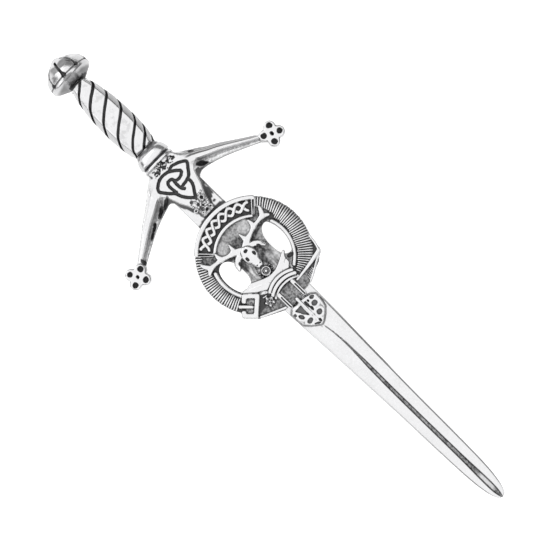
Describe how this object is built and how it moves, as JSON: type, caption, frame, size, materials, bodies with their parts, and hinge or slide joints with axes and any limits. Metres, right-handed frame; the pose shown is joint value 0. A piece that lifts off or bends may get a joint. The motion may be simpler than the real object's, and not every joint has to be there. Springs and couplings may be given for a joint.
{
  "type": "kilt pin",
  "caption": "Cast metal kilt pin shaped as a sword with a twisted grip, knotwork guard and a pierced strap badge with a stag's head on the blade; plain pin and catch behind.",
  "frame": {"origin": "on the surface the pin lies on, under the middle of its length and width", "axes": "+Z out of the front face, +Y along the sword towards the pommel, +X across to the viewer's right"},
  "size_m": [0.0388, 0.108, 0.0123],
  "materials": {
    "pewter": "antiqued pewter: polished relief over dark oxide in the recesses",
    "pin_steel": "plain nickel-plated steel"
  },
  "bodies": {
    "root": {"pommel": "pewter", "grip": "pewter", "guard": "pewter", "blade": "pewter", "badge": "pewter", "back_pin": "pin_steel"}
  },
  "joints": []
}
